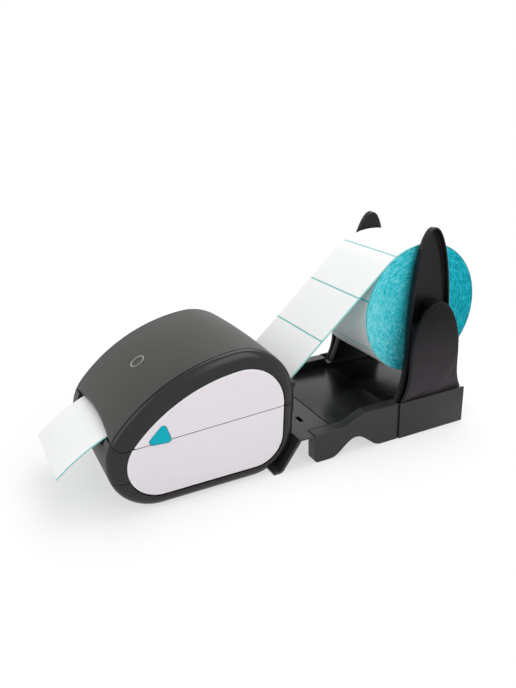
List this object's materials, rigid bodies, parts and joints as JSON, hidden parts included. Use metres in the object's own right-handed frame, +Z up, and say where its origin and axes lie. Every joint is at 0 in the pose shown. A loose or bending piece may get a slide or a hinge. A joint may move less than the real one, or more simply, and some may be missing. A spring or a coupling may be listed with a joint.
{
  "type": "label printer",
  "caption": "Desktop thermal label printer with an arched hinged cover, pale side panels, teal release buttons and a docked stand that holds a roll of labels between tall uprights.",
  "frame": {"origin": "middle of the footprint on the desk", "axes": "+X across to the printer's right side as seen from the roll, +Y from the label slot to the roll, +Z up"},
  "size_m": [0.176, 0.508, 0.2364],
  "materials": {
    "shell_dark": "satin",
    "rim_dark": "gloss",
    "panel_pale": "satin",
    "frame_grey": "matte",
    "gear_white": "satin",
    "motor_steel": "brushed",
    "spring_steel": "polished",
    "board_green": "satin",
    "black_plastic": "satin",
    "black_rubber": "matte",
    "pinion_brass": "satin",
    "ring_grey": "gloss",
    "button_grey": "satin",
    "teal": "satin",
    "head_ceramic": "glazed",
    "sink_aluminium": "satin",
    "stand_dark": "satin",
    "roll_teal": "paper edges",
    "core_board": "cardboard",
    "paper_white": "coated paper"
  },
  "bodies": {
    "base": {"base_shell": "shell_dark", "base_rim_right": "rim_dark", "base_rim_left": "rim_dark", "base_panel_right": "panel_pale", "base_panel_left": "panel_pale", "front_bezel": "rim_dark", "print_frame": "frame_grey", "platen_bushes": "gear_white", "drive_motor": "motor_steel", "main_board": "board_green", "power_jack": "black_plastic", "data_port": "motor_steel", "switch_housing": "black_plastic", "gap_sensor": "black_plastic", "printer_feet": "black_rubber", "base_screws": "motor_steel", "hinge_brackets": "black_plastic", "stand_floor": "stand_dark", "stand_skirt_right": "stand_dark", "stand_skirt_left": "stand_dark", "stand_leg": "stand_dark", "docking_plate": "stand_dark", "label_web": "paper_white"},
    "cover": {"cover_shell": "shell_dark", "cover_rim_right": "rim_dark", "cover_rim_left": "rim_dark", "cover_panel_right": "panel_pale", "cover_panel_left": "panel_pale", "tear_bar": "motor_steel", "head_frame": "motor_steel", "button_board": "board_green", "light_ring": "ring_grey", "hinge_pins": "motor_steel", "head_springs": "spring_steel", "release_spring_right": "spring_steel", "release_spring_left": "spring_steel"},
    "head": {"print_head": "head_ceramic", "head_sink": "sink_aluminium"},
    "feed": {"feed_button": "button_grey"},
    "latch_right": {"release_button_right": "teal"},
    "latch_left": {"release_button_left": "teal"},
    "rocker": {"power_rocker": "black_plastic"},
    "roll": {"label_roll": "roll_teal", "roll_core": "core_board"},
    "platen": {"platen_roller": "black_rubber", "platen_shaft": "motor_steel", "platen_gear": "gear_white"},
    "idler": {"idler_gear": "gear_white"},
    "motor_shaft": {"motor_pinion": "pinion_brass"},
    "guide_right": {"paper_guide_right": "frame_grey"},
    "guide_left": {"paper_guide_left": "frame_grey"},
    "guide_gear": {"guide_pinion": "gear_white"},
    "upright_right": {"slide_block_right": "stand_dark", "ear_right": "stand_dark", "fin_right": "stand_dark", "hub_right": "black_plastic"},
    "upright_left": {"slide_block_left": "stand_dark", "ear_left": "stand_dark", "fin_left": "stand_dark", "hub_left": "black_plastic"}
  },
  "joints": [
    {"name": "cover_hinge", "type": "hinge", "parent": "base", "child": "cover", "pos_m": [0, -0.00614, 0.0932], "axis": [-1, 0, 0], "range_deg": [0, 60]},
    {"name": "head_float", "type": "slide", "parent": "cover", "child": "head", "axis": [0, 0, 1], "range_m": [0, 0.001], "stiffness_N_per_m": 1500, "springref_m": -0.003, "deforming": ["head_springs"]},
    {"name": "feed_press", "type": "slide", "parent": "cover", "child": "feed", "axis": [0, 0.496, -0.8683], "range_m": [0, 0.0012], "stiffness_N_per_m": 900, "springref_m": -0.001},
    {"name": "latch_right_press", "type": "slide", "parent": "cover", "child": "latch_right", "axis": [-1, 0, 0], "range_m": [0, 0.003], "stiffness_N_per_m": 1200, "springref_m": -0.001, "deforming": ["release_spring_right"]},
    {"name": "latch_left_press", "type": "slide", "parent": "cover", "child": "latch_left", "axis": [1, 0, 0], "range_m": [0, 0.003], "stiffness_N_per_m": 1200, "springref_m": -0.001, "deforming": ["release_spring_left"]},
    {"name": "rocker_tilt", "type": "hinge", "parent": "base", "child": "rocker", "pos_m": [0.035, -0.00995, 0.0599], "axis": [1, 0, 0], "range_deg": [0, 12]},
    {"name": "roll_spin", "type": "hinge", "parent": "base", "child": "roll", "pos_m": [0, 0.17681, 0.1398], "axis": [1, 0, 0], "continuous": true},
    {"name": "platen_spin", "type": "hinge", "parent": "base", "child": "platen", "pos_m": [0, -0.18815, 0.0712], "axis": [1, 0, 0], "continuous": true},
    {"name": "idler_spin", "type": "hinge", "parent": "base", "child": "idler", "pos_m": [0.067, -0.17096, 0.05677], "axis": [1, 0, 0], "continuous": true},
    {"name": "motor_spin", "type": "hinge", "parent": "base", "child": "motor_shaft", "pos_m": [0.067, -0.15567, 0.04794], "axis": [1, 0, 0], "continuous": true},
    {"name": "guide_right_slide", "type": "slide", "parent": "base", "child": "guide_right", "axis": [1, 0, 0], "range_m": [0, 0.0045]},
    {"name": "guide_left_slide", "type": "slide", "parent": "base", "child": "guide_left", "axis": [-1, 0, 0], "range_m": [0, 0.0045]},
    {"name": "guide_gear_turn", "type": "hinge", "parent": "base", "child": "guide_gear", "pos_m": [0, -0.06415, 0.0707], "axis": [0, 0, 1], "range_deg": [-45, 0]},
    {"name": "upright_right_slide", "type": "slide", "parent": "base", "child": "upright_right", "axis": [1, 0, 0], "range_m": [0, 0.018]},
    {"name": "upright_left_slide", "type": "slide", "parent": "base", "child": "upright_left", "axis": [-1, 0, 0], "range_m": [0, 0.018]}
  ],
  "couplings": [
    {"joint": "platen_spin", "follows": "roll_spin", "ratio": 9.5938},
    {"joint": "idler_spin", "follows": "roll_spin", "ratio": -7.1953},
    {"joint": "motor_spin", "follows": "roll_spin", "ratio": 19.188},
    {"joint": "guide_left_slide", "follows": "guide_right_slide", "ratio": 1},
    {"joint": "guide_gear_turn", "follows": "guide_right_slide", "rad_per_m": -166.67}
  ]
}
